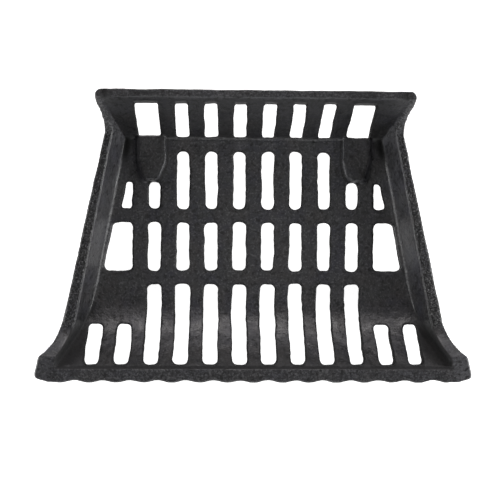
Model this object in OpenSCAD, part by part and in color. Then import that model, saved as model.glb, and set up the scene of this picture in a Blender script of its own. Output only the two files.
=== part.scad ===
// Cast-iron log grate: one slotted basket casting that stands on four bolted-on legs.
// X runs across the front, Y runs from the front to the back and Z points up.
// The origin lies on the hearth, under the middle of the overall box.

/* [Overall] */
// Width across the two front ears
width = 428; // [350:1:520]
// Depth from the front scallops to the back edge of the back rim
depth = 284; // [236:1:345]
// Width across the two back horns
back_width = 309.5; // [260:0.5:340]
// Height of the underside of the floor above the hearth
clearance = 63.5; // [52:0.5:100]

/* [Casting walls] */
// Thickness of the floor
floor_t = 9; // [7.5:0.5:12]
// Thickness of the back wall
back_wall_t = 7; // [5.5:0.5:9]
// Thickness of the front wall
front_wall_t = 8; // [6.5:0.5:10]
// Width of the side rim at its back end, measured along X
side_rim_back = 7; // [5.5:0.5:9]
// Width of the side rim at its front end, measured along X
side_rim_front = 14; // [11:0.5:17]

/* [Wall heights and slopes] */
// Height of the back rim above the floor
back_rim_h = 70; // [58:1:84]
// Height of the front rim above the floor
front_rim_h = 54; // [45:1:65]
// Height of the side rims above the floor, between their two swoops
side_rim_h = 30; // [24:1:36]
// Lean of the back wall away from upright
back_lean = 24; // [18:1:30]
// Lean of the front wall away from upright, at its rim
front_lean = 40; // [34:1:48]
// Lean of the side walls away from upright
side_lean = 18; // [14:1:22]
// Radius of the long bend between the floor and the front wall, inside
front_bend_r = 63; // [50:1:75]
// Radius of the corner between the floor and the back wall, inside
back_bend_r = 7; // [4:0.5:12]

/* [Rim] */
// Length of the swoop that lifts the side rim to the back horn
back_swoop = 31; // [24:1:38]
// Length of the swoop that lifts the side rim to the front ear
front_swoop = 37; // [30:1:45]
// Length of the flat ear at each front corner
ear_len = 26; // [20:1:32]
// Width of the ear
ear_w = 20.5; // [17:0.5:26]
// How far the ear stands out past the side wall
ear_proud = 2.7; // [1.5:0.1:4]
// Depth of the ear, from its top down
ear_h = 14; // [8:1:18]
// Radius of the ear's front corner
ear_r = 4.5; // [3:0.5:7]
// Angle that the ear's front edge turns back by, towards its corner
ear_slant = 17; // [8:1:25]
// Radius of the horn at each back corner
horn_r = 7; // [4:0.5:9]
// Pitch of the scallops along the front rim
scallop_pitch = 27; // [22:0.5:33]
// Depth of the scallops
scallop_d = 2.5; // [1.5:0.1:4]
// How far the lip stands out past the front wall, at the bottom of a scallop
lip_proud = 0.6; // [0.3:0.1:3]
// Height of the scalloped lip
lip_h = 8; // [6:0.5:11]

/* [Slots] */
// Pitch of the slot columns across the grate
slot_pitch = 29.25; // [26:0.25:34]
// Slot width in the back wall
back_slot_w = 13.5; // [11:0.5:16]
// Width of the outermost slot on each side of the back wall
back_slot_wide = 23.7; // [19:0.1:28]
// Slot width in the back floor row
row2_slot_w = 13; // [10:0.5:15]
// Slot width in the middle floor row
row3_slot_w = 14; // [10:0.5:16]
// Slot width in the front row, which runs up the front wall
front_slot_w = 15.5; // [12:0.5:17]
// Corner radius of the slots in the back wall
back_slot_r = 2; // [1:0.5:4]
// Corner radius of the slots in the back floor row
row2_slot_r = 5.5; // [3:0.5:6]
// Corner radius of the slots in the middle floor row
row3_slot_r = 5; // [2:0.5:6]
// Corner radius of the slots in the front row
front_slot_r = 5; // [2:0.5:6]
// Floor left between the side wall and the outermost slot of the back floor row
row2_edge_gap = 9; // [7:0.5:12]
// Floor left between the side wall and the outermost slot of the middle floor row
row3_edge_gap = 4; // [3:0.5:8]
// Back wall left between the side wall and its outermost slot, at the foot
back_edge_gap = 13; // [10:0.5:18]
// Back wall left between its foot and its slots
back_foot_bar = 1.4; // [1:0.1:4]
// Solid bar between one row of slots and the next
cross_bar = 13.6; // [11:0.2:17]
// Solid bar between the back wall and the back floor row
back_bar = 12.7; // [10:0.1:16]
// Part of the two floor rows' length that the back one takes
row2_share = 0.545; // [0.45:0.005:0.6]
// Solid rim left over the slots of the front wall
front_rim_bar = 2.5; // [2:0.5:6]
// Solid rim left over the slots of the back wall
back_rim_bar = 3; // [2:0.5:7]

/* [Legs] */
// Distance from the foot of the side wall to a front leg's middle
front_leg_side_gap = 28; // [25:0.5:33]
// Distance from the foot of the side wall to a rear leg's middle
rear_leg_side_gap = 31.5; // [27:0.5:34]
// Distance from the foot of the back wall to a rear leg's middle
rear_leg_inset = 23; // [22:0.5:27]
// Distance from the foot of the front wall to a front leg's middle
front_leg_inset = 22; // [19:0.5:26]
// Length of a leg at its top, from front to back
leg_len = 37; // [31:0.5:40]
// Width of a leg at the back of its top
leg_w_back = 33; // [29:0.5:36]
// Width of a leg at the front of its top
leg_w_front = 25; // [21:0.5:28]
// Share of the top's size that the foot keeps
foot_share = 0.76; // [0.7:0.01:0.9]
// Thickness of the leg's top flange
flange_t = 8; // [6.5:0.5:10]
// Thickness of the solid foot under the leg's hollow
foot_t = 9; // [6:0.5:12]
// Wall of the leg around its hollow
leg_wall = 5; // [4:0.5:6]
// Height of the boss that each leg seats on, below the floor
boss_h = 8; // [6:0.5:11]
// Height of the raised pads over the rear legs
pad_h = 6; // [4:0.5:9]
// Width of a raised pad
pad_w = 31; // [27:0.5:34]
// Width of a raised pad at its front end
pad_front_w = 19; // [14:0.5:24]

/* [Fasteners] */
// Thread diameter of the leg bolts
bolt_d = 8; // [6:1:10]
// Length of the bolts under the head
bolt_len = 20; // [18:0.5:22]
// Width of the bolt's hexagon across its flats
hex_af = 13; // [10:0.5:15]
// Height of the bolt head
head_h = 5.3; // [4:0.1:6.5]
// Outside diameter of the spring washers
washer_d = 14.8; // [12:0.1:16]
// Thickness of the spring washers
washer_t = 2; // [1.6:0.1:2.4]
// Diameter of the locating nub on a leg's top
nub_d = 6; // [5:0.5:7]
// Height of the locating nub
nub_h = 4; // [3:0.5:5]

/* [Hidden] */
SIDES = ["left", "right"];
$fn = 64;

iron = "#2c2c2e";
steel = "#6d6f73";

back_swoop_power = 1.75; // how sharply the side rim swoops up to the back horn
front_swoop_power = 2.3; // how sharply it swoops up to the front ear
leg_corner_r = 5;        // corner radius of a leg, at its top
skin = 0.1;              // thickness of the slices that a tapered form is drawn between
thread_gap = 0.05;       // gap around the bolt in its tapped hole
bolt_gap = 0.5;          // gap around the bolt in the leg's flange
nub_gap = 0.4;           // gap around the locating nub
hole_end_gap = 2.5;      // depth of the tapped hole past the bolt's end
overcut = 1;             // how far a cutting shape runs past the face it cuts

// Levels, all taken from the hearth
floor_z = clearance + floor_t;
seat_z = clearance - boss_h;
washer_z = seat_z - flange_t - washer_t;

// Foot of the back wall and of the front wall on the floor, as if their corners were sharp
back_foot_y = depth / 2 - back_wall_t / cos(back_lean) - back_rim_h * tan(back_lean);
front_foot_y = -depth / 2 + scallop_d + lip_proud + front_wall_t / cos(front_lean)
    + front_rim_h * tan(front_lean);

// The side walls are planes x = mid - taper * y + z * tan(side_lean), with z from the floor up
horn_dressing = 0.75;    // how much is dressed off the outer side of each horn
outer_back_x = back_width / 2 + horn_dressing - back_rim_h * tan(side_lean);
outer_front_x = width / 2 - ear_proud - front_rim_h * tan(side_lean);
outer_mid = (outer_back_x + outer_front_x) / 2;
outer_taper = (outer_front_x - outer_back_x) / depth;
inner_mid = outer_mid - (side_rim_back + side_rim_front) / 2;
inner_taper = outer_taper - (side_rim_front - side_rim_back) / depth;
function inner_x(y, z = 0) = inner_mid - inner_taper * y + z * tan(side_lean);

// Height of the front bend above the floor, inside
function bend_height(y) =
    let (
        bend_y = front_foot_y + front_bend_r * tan((90 - front_lean) / 2),
        run = max(0, min(front_bend_r * cos(front_lean), bend_y - y))
    )
    front_bend_r - sqrt(pow(front_bend_r, 2) - pow(run, 2));

// Leg places
rear_leg_y = back_foot_y - rear_leg_inset;
front_leg_y = front_foot_y + front_leg_inset;
function leg_y(end) = end == "rear" ? rear_leg_y : front_leg_y;
function leg_side_gap(end) = end == "rear" ? rear_leg_side_gap : front_leg_side_gap;
function leg_x(end, side) =
    (side == "left" ? -1 : 1) * (inner_x(leg_y(end)) - leg_side_gap(end));

// Slot rows, each from its front end to its back end
rear_slot_gap = 3.5;     // floor left between a rear boss and the slots in front of it
front_slot_gap = 8.5;    // floor left between a front boss and the slots in front of it
front_row = [
    front_foot_y - front_rim_h * tan(front_lean) + front_rim_bar,
    front_foot_y + front_leg_inset + cross_bar
];
rows_length = back_foot_y - back_bar - front_row[1] - 2 * cross_bar;
row3 = [front_row[1] + cross_bar, front_row[1] + cross_bar + rows_length * (1 - row2_share)];
row2 = [row3[1] + cross_bar, back_foot_y - back_bar];
back_row = [
    back_foot_y + back_foot_bar,
    back_foot_y + back_rim_h * tan(back_lean) - back_rim_bar
];
boss_margin = 1;         // how far a boss stands out around the top of its leg
pad_flank = 1.5;         // how far a raised pad's flanks spread from half their height
pad_corner_r = 6;        // corner radius of a raised pad
pad_reach = 3;           // how far a raised pad runs out past the front of its leg
wall_bite = 2;           // how far a raised pad runs into the back wall
nub_inset = 6;           // distance from a leg's front face to the middle of its nub
slot_side_gap = 2;       // casting left beside a slot
slot_min_w = 5;          // narrowest slot that is worth casting
slot_min_len = 10;       // shortest slot that is worth casting

// ---- outlines -----------------------------------------------------------------------------

function arc(centre, r, from, to, steps) = [
    for (i = [0:steps])
        let (a = from + (to - from) * i / steps)
        centre + r * [cos(a), sin(a)]
];

function unit(v) = v / norm(v);

// The arc that rounds corner p of an outline that turns to the left from a through p to b
function corner_arc(a, p, b, r, steps = 5) =
    let (
        u = unit(a - p),
        v = unit(b - p),
        half = acos(u * v) / 2,
        centre = p + unit(u + v) * r / sin(half),
        start = p + u * r / tan(half) - centre,
        from = atan2(start[1], start[0])
    )
    arc(centre, r, from, from + 180 - 2 * half, steps);

function rounded(points, r) =
    let (n = len(points))
    [for (i = [0:n - 1]) each corner_arc(points[(i + n - 1) % n], points[i], points[(i + 1) % n], r)];

// Section of the basket across X: the line of the front wall, floor and back wall, closed
// well above the rim
function tray_outline(front_y, back_y, low_z, front_r, back_r) =
    let (
        high_z = back_rim_h + floor_t,
        front_slope = 90 - front_lean,
        back_slope = 90 - back_lean
    )
    concat(
        [[front_y - (high_z - low_z) * tan(front_lean), high_z]],
        arc([front_y + front_r * tan(front_slope / 2), low_z + front_r], front_r,
            270 - front_slope, 270, 10),
        arc([back_y - back_r * tan(back_slope / 2), low_z + back_r], back_r,
            270, 270 + back_slope, 6),
        [[back_y + (high_z - low_z) * tan(back_lean), high_z]]
    );

// Line of the rim seen from the side, closed below the floor
function rim_outline() =
    let (
        ear_y = -depth / 2 + ear_len,
        horn_y = back_foot_y + back_rim_h * tan(back_lean),
        back_rise = back_rim_h - side_rim_h,
        front_rise = front_rim_h - side_rim_h,
        steps = 10
    )
    concat(
        [[-depth, -2 * floor_t], [depth, -2 * floor_t], [depth, back_rim_h]],
        [for (i = [0:steps])
            let (t = 1 - i / steps)
            [horn_y - back_swoop * (1 - t), side_rim_h + back_rise * pow(t, back_swoop_power)]],
        [for (i = [0:steps])
            let (t = i / steps)
            [ear_y + front_swoop * (1 - t), side_rim_h + front_rise * pow(t, front_swoop_power)]],
        [[-depth, front_rim_h]]
    );

// Top of a leg: a shield, wider at the back, grown by margin on every side
function shield(margin = 0, share = 1) =
    let (
        y = share * leg_len / 2 + margin,
        front_x = share * leg_w_front / 2 + margin,
        back_x = share * leg_w_back / 2 + margin
    )
    rounded([[-front_x, -y], [front_x, -y], [back_x, y], [-back_x, y]], share * leg_corner_r);

// Outline of a raised pad: a crest with bulging sides. It ends inside the back wall
function crest(margin) =
    let (
        front_x = pad_front_w / 2 + margin,
        back_x = pad_w / 2 + margin,
        front_y = -leg_len / 2 - pad_reach - margin,
        wall_y = rear_leg_inset + pad_h * tan(back_lean) + wall_bite
    )
    rounded([[-back_x, 0], [-front_x, front_y], [front_x, front_y], [back_x, 0],
        [back_x, wall_y], [-back_x, wall_y]], pad_corner_r);

// ---- basket -------------------------------------------------------------------------------

module across(outline) {
    rotate([90, 0, 90])
        linear_extrude(2 * width, center = true)
            polygon(outline);
}

// Plan of the whole casting: open to the front, with a round horn at each back corner
function horned_plan() =
    let (x = back_width / 2, y = depth / 2)
    concat(
        [[-width, -depth], [width, -depth], [width, y - back_swoop], [x, y - back_swoop]],
        arc([x - horn_r, y - horn_r], horn_r, 0, 90, 6),
        arc([horn_r - x, y - horn_r], horn_r, 90, 180, 6),
        [[-x, y - back_swoop], [-width, y - back_swoop]]);

// Everything between the two leaning side planes
module between_sides(mid, taper) {
    yaw = atan(taper);
    tilt = atan(tan(side_lean) * cos(yaw));
    intersection_for (m = [0, 1])
        mirror([m, 0, 0])
            translate([mid, 0, 0])
                rotate([0, 0, yaw])
                    rotate([0, tilt, 0])
                        translate([-2 * width, -width, -width])
                            cube([2 * width, 2 * width, 2 * width]);
}

module outer_tray() {
    across(tray_outline(
        front_foot_y - front_wall_t / cos(front_lean) + floor_t * tan(front_lean),
        back_foot_y + back_wall_t / cos(back_lean) - floor_t * tan(back_lean),
        -floor_t, front_bend_r + floor_t, back_bend_r + back_wall_t));
}

module inner_tray() {
    across(tray_outline(front_foot_y, back_foot_y, 0, front_bend_r, back_bend_r));
}

module shell() {
    difference() {
        intersection() {
            outer_tray();
            between_sides(outer_mid, outer_taper);
            across(rim_outline());
            translate([0, 0, -2 * floor_t])
                linear_extrude(back_rim_h + 3 * floor_t)
                    polygon(horned_plan());
        }
        intersection() {
            inner_tray();
            between_sides(inner_mid, inner_taper);
        }
    }
}

// The lip's front edge is a wave whose peaks reach the full depth
module scalloped_lip() {
    half = width / 2 - ear_w / 2;
    steps = 2 * ceil(6 * half / scallop_pitch);
    back_y = front_foot_y - front_rim_h * tan(front_lean);
    translate([0, 0, front_rim_h - lip_h])
        linear_extrude(lip_h)
            polygon(concat(
                [for (i = [0:steps])
                    let (x = half * (2 * i / steps - 1))
                    [x, (scallop_d * (1 - cos(360 * x / scallop_pitch)) - depth) / 2]],
                [[half, back_y], [-half, back_y]]));
}

// Flat ear that ends the front rim. Its front edge turns back a little before the round
// corner, and its side runs along the side wall
module ear() {
    slanted_w = 13;                              // width of the front edge that turns back
    x = width / 2;
    front_y = -depth / 2 + scallop_d / 4;        // level with the middle of the scallops
    back_y = -depth / 2 + ear_len;
    yaw = atan(outer_taper);
    middle = [
        x - ear_r,
        front_y + ear_r * cos(ear_slant)
            + tan(ear_slant) * (slanted_w - ear_r + ear_r * sin(ear_slant))
    ];
    side_x = x - ear_r + ear_r / cos(yaw) - outer_taper * (back_y - middle[1]);
    translate([0, 0, front_rim_h - ear_h])
        linear_extrude(ear_h)
            polygon(concat(
                [[x - ear_w, front_y], [x - slanted_w, front_y]],
                arc(middle, ear_r, ear_slant - 90, yaw, 6),
                corner_arc(middle + [ear_r, 0], [side_x, back_y], [x - ear_w, back_y], 3),
                [[x - ear_w, back_y]]));
}

module at_leg(end, side) {
    translate([leg_x(end, side), leg_y(end), 0])
        children();
}

// Solid boss under the floor, with the leg's own outline. Its top stays inside the floor
module boss() {
    translate([0, 0, seat_z - floor_z])
        linear_extrude(boss_h + floor_t / 2)
            polygon(shield(boss_margin));
}

// Raised pad over a rear leg, with sloping flanks
module raised_pad() {
    hull()
        for (level = [[-overcut, pad_flank], [pad_h - skin, -pad_flank]])
            translate([0, 0, level[0]])
                linear_extrude(skin)
                    polygon(crest(level[1]));
}

module slot(outline) {
    translate([0, 0, -floor_t - overcut])
        linear_extrude(back_rim_h + 2 * floor_t)
            polygon(outline);
}

// One slot and its twin on the other side, if the row is long enough. The outer edge may
// slant, and the corners are limited by the narrow end and by the length
module slot_pair(row, inner, outer_front, outer_back, r) {
    shortest_side = min(outer_front - inner, outer_back - inner, row[1] - row[0]);
    if (row[1] - row[0] >= slot_min_len)
        for (m = [0, 1])
            mirror([m, 0, 0])
                slot(rounded(
                    [[inner, row[0]], [outer_front, row[0]], [outer_back, row[1]], [inner, row[1]]],
                    min(r, 0.45 * shortest_side)));
}

// Whether a column of slots would run over the boss of the legs at this end
function meets_leg(end, x, w) =
    abs(x - leg_x(end, "right")) < leg_w_back / 2 + boss_margin + w / 2 + slot_side_gap;

// A row on the floor. Its outermost slot follows the side wall at edge_gap
module floor_row(row, short_row, w, r, edge_gap) {
    columns = ceil(width / slot_pitch / 2);
    for (i = [0:columns]) {
        x = (i + 0.5) * slot_pitch;
        span = meets_leg("rear", x, w) ? short_row : row;
        inner = x - w / 2;
        fits = inner + slot_min_w < inner_x(span[1]) - edge_gap;
        last = inner + slot_pitch + slot_min_w >= inner_x(span[1]) - edge_gap;
        if (fits)
            slot_pair(span, inner,
                last ? inner_x(span[0]) - edge_gap : x + w / 2,
                last ? inner_x(span[1]) - edge_gap : x + w / 2, r);
    }
}

module front_slots() {
    short_row = [front_row[0], front_leg_y - leg_len / 2 - front_slot_gap];
    edge = inner_x(short_row[1], bend_height(short_row[1])) - slot_side_gap;
    columns = floor((edge - front_slot_w / 2) / slot_pitch + 0.5);
    for (i = [0:columns - 1]) {
        x = (i + 0.5) * slot_pitch;
        span = meets_leg("front", x, front_slot_w) ? short_row : front_row;
        outer = x + front_slot_w / 2;
        slot_pair(span, x - front_slot_w / 2, outer, outer, front_slot_r);
    }
}

module back_slots() {
    room = inner_x(back_row[0]) - back_edge_gap - back_slot_wide + back_slot_w / 2;
    columns = floor(room / slot_pitch + 0.5);
    for (i = [0:columns - 1]) {
        inner = (i + 0.5) * slot_pitch - back_slot_w / 2;
        w = i == columns - 1 ? back_slot_wide : back_slot_w;
        slot_pair(back_row, inner, inner + w, inner + w, back_slot_r);
    }
}

module slots() {
    row2_short = [row2[0], rear_leg_y - leg_len / 2 - rear_slot_gap];
    back_slots();
    floor_row(row2, row2_short, row2_slot_w, row2_slot_r, row2_edge_gap);
    floor_row(row3, row3, row3_slot_w, row3_slot_r, row3_edge_gap);
    front_slots();
}

module leg_holes() {
    tapped_len = bolt_len - flange_t - washer_t + hole_end_gap;
    translate([0, 0, seat_z - floor_z - overcut]) {
        cylinder(d = bolt_d + 2 * thread_gap, h = tapped_len + overcut);
        translate([0, -leg_len / 2 + nub_inset, 0])
            cylinder(d = nub_d + 2 * nub_gap, h = nub_h + nub_gap + overcut);
    }
}

module basket() {
    color(iron)
        translate([0, 0, floor_z])
            difference() {
                union() {
                    shell();
                    scalloped_lip();
                    for (m = [0, 1])
                        mirror([m, 0, 0])
                            ear();
                    for (side = SIDES) {
                        at_leg("rear", side)
                            raised_pad();
                        for (end = ["rear", "front"])
                            at_leg(end, side)
                                boss();
                    }
                }
                slots();
                for (side = SIDES, end = ["rear", "front"])
                    at_leg(end, side)
                        leg_holes();
            }
}

// ---- legs and fasteners -------------------------------------------------------------------

// A tapered leg, hollow and open at the back, with a top flange that the bolt clamps
module leg_casting() {
    difference() {
        union() {
            hull() {
                linear_extrude(skin)
                    polygon(shield(0, foot_share));
                translate([0, 0, seat_z - skin])
                    linear_extrude(skin)
                        polygon(shield());
            }
            translate([0, -leg_len / 2 + nub_inset, seat_z - overcut])
                cylinder(d = nub_d, h = nub_h + overcut);
        }
        leg_hollow();
        translate([0, 0, seat_z - flange_t - overcut])
            cylinder(d = bolt_d + 2 * bolt_gap, h = flange_t + 2 * overcut);
    }
}

module leg_hollow() {
    top_w = leg_w_front - leg_wall;              // the back is wider, so its walls are thicker
    low_w = foot_share * leg_w_front - leg_wall;
    front_y = -leg_len / 2 + 2 * leg_wall;
    hull()
        for (level = [[foot_t, low_w], [seat_z - flange_t - skin, top_w]])
            translate([-level[1] / 2, front_y, level[0]])
                cube([level[1], leg_len, skin]);
}

// Hexagon-head bolt, head down, with a chamfered head and point
module hex_bolt() {
    head_r = hex_af / 2 / cos(30);
    tip = 1;             // height and width of the chamfer at the point
    chamfer_r = hex_af / 2 - 0.3;
    chamfer_slope = 30;
    translate([0, 0, -head_h])
        intersection() {
            cylinder(r = head_r, h = head_h, $fn = 6);
            cylinder(r1 = chamfer_r, r2 = chamfer_r + head_h / tan(chamfer_slope), h = head_h);
        }
    cylinder(d = bolt_d, h = bolt_len - tip);
    translate([0, 0, bolt_len - tip])
        cylinder(d1 = bolt_d, d2 = bolt_d - 2 * tip, h = tip);
}

module split_ring() {
    split = 1.5;         // width of the slanted cut through the ring
    split_slant = 30;
    ring_gap = 0.2;      // gap around the bolt inside the ring
    difference() {
        cylinder(d = washer_d, h = washer_t);
        translate([0, 0, -overcut])
            cylinder(d = bolt_d + 2 * ring_gap, h = washer_t + 2 * overcut);
        translate([washer_d / 2, 0, washer_t / 2])
            rotate([split_slant, 0, 0])
                cube([washer_d, split, 3 * washer_t], center = true);
    }
}

module leg(end, side) {
    color(iron)
        at_leg(end, side)
            leg_casting();
}

module bolt(end, side) {
    color(steel)
        at_leg(end, side)
            translate([0, 0, washer_z])
                hex_bolt();
}

module spring_washer(end, side) {
    color(steel)
        at_leg(end, side)
            translate([0, 0, washer_z])
                split_ring();
}

basket();
leg("front", "left");  // leg_front_left
leg("front", "right");  // leg_front_right
leg("rear", "left");  // leg_rear_left
leg("rear", "right");  // leg_rear_right
bolt("front", "left");  // bolt_front_left
bolt("front", "right");  // bolt_front_right
bolt("rear", "left");  // bolt_rear_left
bolt("rear", "right");  // bolt_rear_right
spring_washer("front", "left");  // spring_washer_front_left
spring_washer("front", "right");  // spring_washer_front_right
spring_washer("rear", "left");  // spring_washer_rear_left
spring_washer("rear", "right");  // spring_washer_rear_right
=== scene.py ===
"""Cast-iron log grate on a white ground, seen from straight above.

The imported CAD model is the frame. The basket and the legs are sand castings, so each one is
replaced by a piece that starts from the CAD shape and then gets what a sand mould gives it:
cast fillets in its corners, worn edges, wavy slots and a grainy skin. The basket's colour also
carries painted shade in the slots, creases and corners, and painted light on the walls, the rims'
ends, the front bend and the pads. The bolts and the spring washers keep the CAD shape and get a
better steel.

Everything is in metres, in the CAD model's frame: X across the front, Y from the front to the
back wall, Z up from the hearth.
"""

import logging
import math
from collections.abc import Callable
from dataclasses import dataclass, field
from enum import Enum

import bmesh
import bpy
from mathutils import Matrix, Vector, noise

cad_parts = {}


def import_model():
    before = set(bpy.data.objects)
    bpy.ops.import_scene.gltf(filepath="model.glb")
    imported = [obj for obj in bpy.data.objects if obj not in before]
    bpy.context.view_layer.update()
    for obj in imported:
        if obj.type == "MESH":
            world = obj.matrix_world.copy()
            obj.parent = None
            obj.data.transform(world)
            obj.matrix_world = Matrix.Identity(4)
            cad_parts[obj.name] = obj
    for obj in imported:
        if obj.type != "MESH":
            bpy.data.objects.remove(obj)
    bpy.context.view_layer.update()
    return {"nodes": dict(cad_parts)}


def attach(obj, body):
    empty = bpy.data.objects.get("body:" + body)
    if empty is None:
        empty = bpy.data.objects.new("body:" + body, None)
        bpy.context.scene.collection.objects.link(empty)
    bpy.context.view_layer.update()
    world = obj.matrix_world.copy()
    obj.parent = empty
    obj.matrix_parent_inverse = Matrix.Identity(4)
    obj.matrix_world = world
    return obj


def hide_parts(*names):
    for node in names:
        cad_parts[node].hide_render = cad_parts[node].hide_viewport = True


Socket = bpy.types.NodeSocket
Skin = bmesh.types.BMesh
Points = list[bmesh.types.BMVert]
Piece = bpy.types.Object
Span = tuple[float, float]
Triple = tuple[float, float, float]

LOG = logging.getLogger("log_grate")
MM = 0.001
ROOT = "root"
MOULD_SEED = 7
WHITE = (1.0, 1.0, 1.0, 1.0)


class Side(Enum):
    """Left or right of the grate, as the camera sees it."""

    LEFT = -1
    RIGHT = 1


class End(Enum):
    """Front or rear of the grate."""

    FRONT = "front"
    REAR = "rear"


class Band(Enum):
    """Which part of a casting a point lies on: the gritty rim, or where painted shade or painted
    light goes.
    """

    RIM = "rim"
    # painted shade on a dull surface: slot sides, front creases, the front rim's edge, the pads'
    # inner feet
    HOLLOW = "hollow"
    # painted shade in the corners, along the front wall and on the back wall; darker pad tops
    SHADE = "shade"
    # painted light on the side walls, rim ends, ears, front bend, front patches and pad flanks
    ASH = "ash"


# ---- sizes ----


@dataclass(frozen=True)
class GratePlan:
    """The sizes of the CAD model that the castings' details are placed by, in metres."""

    floor_z: float = 72.5 * MM
    back_foot_y: float = 103.17 * MM
    front_foot_y: float = -83.15 * MM
    back_rim_h: float = 70 * MM
    front_rim_h: float = 54 * MM
    side_rim_h: float = 30 * MM
    back_lean: float = math.radians(24)
    front_lean: float = math.radians(40)
    side_lean: float = math.radians(18)
    front_bend_r: float = 63 * MM
    inner_mid: float = 152.76 * MM
    inner_taper: float = 0.19012
    outer_mid: float = 163.26 * MM
    outer_taper: float = 0.21477
    back_swoop: float = 31 * MM
    front_swoop: float = 37 * MM
    back_swoop_power: float = 1.75
    front_swoop_power: float = 2.3
    ear_y: float = -116 * MM
    front_rim_y: float = -127.5 * MM
    pad_x: float = 105.87 * MM

    @property
    def horn_y(self) -> float:
        """Y of the back rim's inner edge, where the side rims end."""
        return self.back_foot_y + self.back_rim_h * math.tan(self.back_lean)

    def inner_x(self, y: float, height: float = 0.0) -> float:
        """Returns how far the side wall's inner face is from the middle, at a place and height."""
        return self.inner_mid - self.inner_taper * y + height * math.tan(self.side_lean)

    def outer_x(self, y: float, height: float = 0.0) -> float:
        """Returns how far the side wall's outer face is from the middle, at a place and height."""
        return self.outer_mid - self.outer_taper * y + height * math.tan(self.side_lean)

    def floor_height(self, y: float) -> float:
        """Finds the height of the slotted surface between the side walls.

        Args:
            y: Place between the front rim and the back rim.

        Returns:
            The height above the floor's flat middle.
        """
        radius = self.front_bend_r
        slope = math.pi / 2 - self.front_lean
        bend_y = self.front_foot_y + radius * math.tan(slope / 2)
        run = bend_y - y
        if run > radius * math.sin(slope):
            return (self.front_foot_y - y) / math.tan(self.front_lean)
        if run > 0:
            return radius - math.sqrt(radius * radius - run * run)
        return max(0.0, (y - self.back_foot_y) / math.tan(self.back_lean))

    def facing(self, y: float) -> Vector:
        """Finds the direction that the slotted surface faces.

        Args:
            y: Place between the front rim and the back rim.

        Returns:
            The surface's upward normal.
        """
        if y > self.back_foot_y:
            return Vector((0.0, -math.cos(self.back_lean), math.sin(self.back_lean)))
        step = 0.5 * MM
        rise = self.floor_height(y + step) - self.floor_height(y - step)
        return Vector((0.0, -rise, 2 * step)).normalized()

    def rim_height(self, y: float) -> float:
        """Finds the height of the side rim.

        Args:
            y: Place between the front rim and the back rim.

        Returns:
            The height above the floor's flat middle.
        """
        back = (y - self.horn_y + self.back_swoop) / self.back_swoop
        front = (self.ear_y + self.front_swoop - y) / self.front_swoop
        if back > 0:
            rise = (self.back_rim_h - self.side_rim_h) * min(1.0, back) ** self.back_swoop_power
            return self.side_rim_h + rise
        if front > 0:
            rise = (self.front_rim_h - self.side_rim_h) * min(1.0, front) ** self.front_swoop_power
            return self.side_rim_h + rise
        return self.side_rim_h


PLAN = GratePlan()


@dataclass(frozen=True)
class Ramp:
    """An eased change from 0 at one value to 1 at another, which may be the lower one."""

    none: float
    full: float

    def __call__(self, value: float) -> float:
        """Returns the eased share at a value, from 0 to 1."""
        share = min(1.0, max(0.0, (value - self.none) / (self.full - self.none)))
        return share * share * (3.0 - 2.0 * share)


# ---- materials ----


@dataclass(frozen=True)
class Grain:
    """A noise pattern: its size in metres, its finer layers and how far it is distorted."""

    size: float
    detail: float = 3.0
    roughness: float = 0.55
    distortion: float = 0.0


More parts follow.
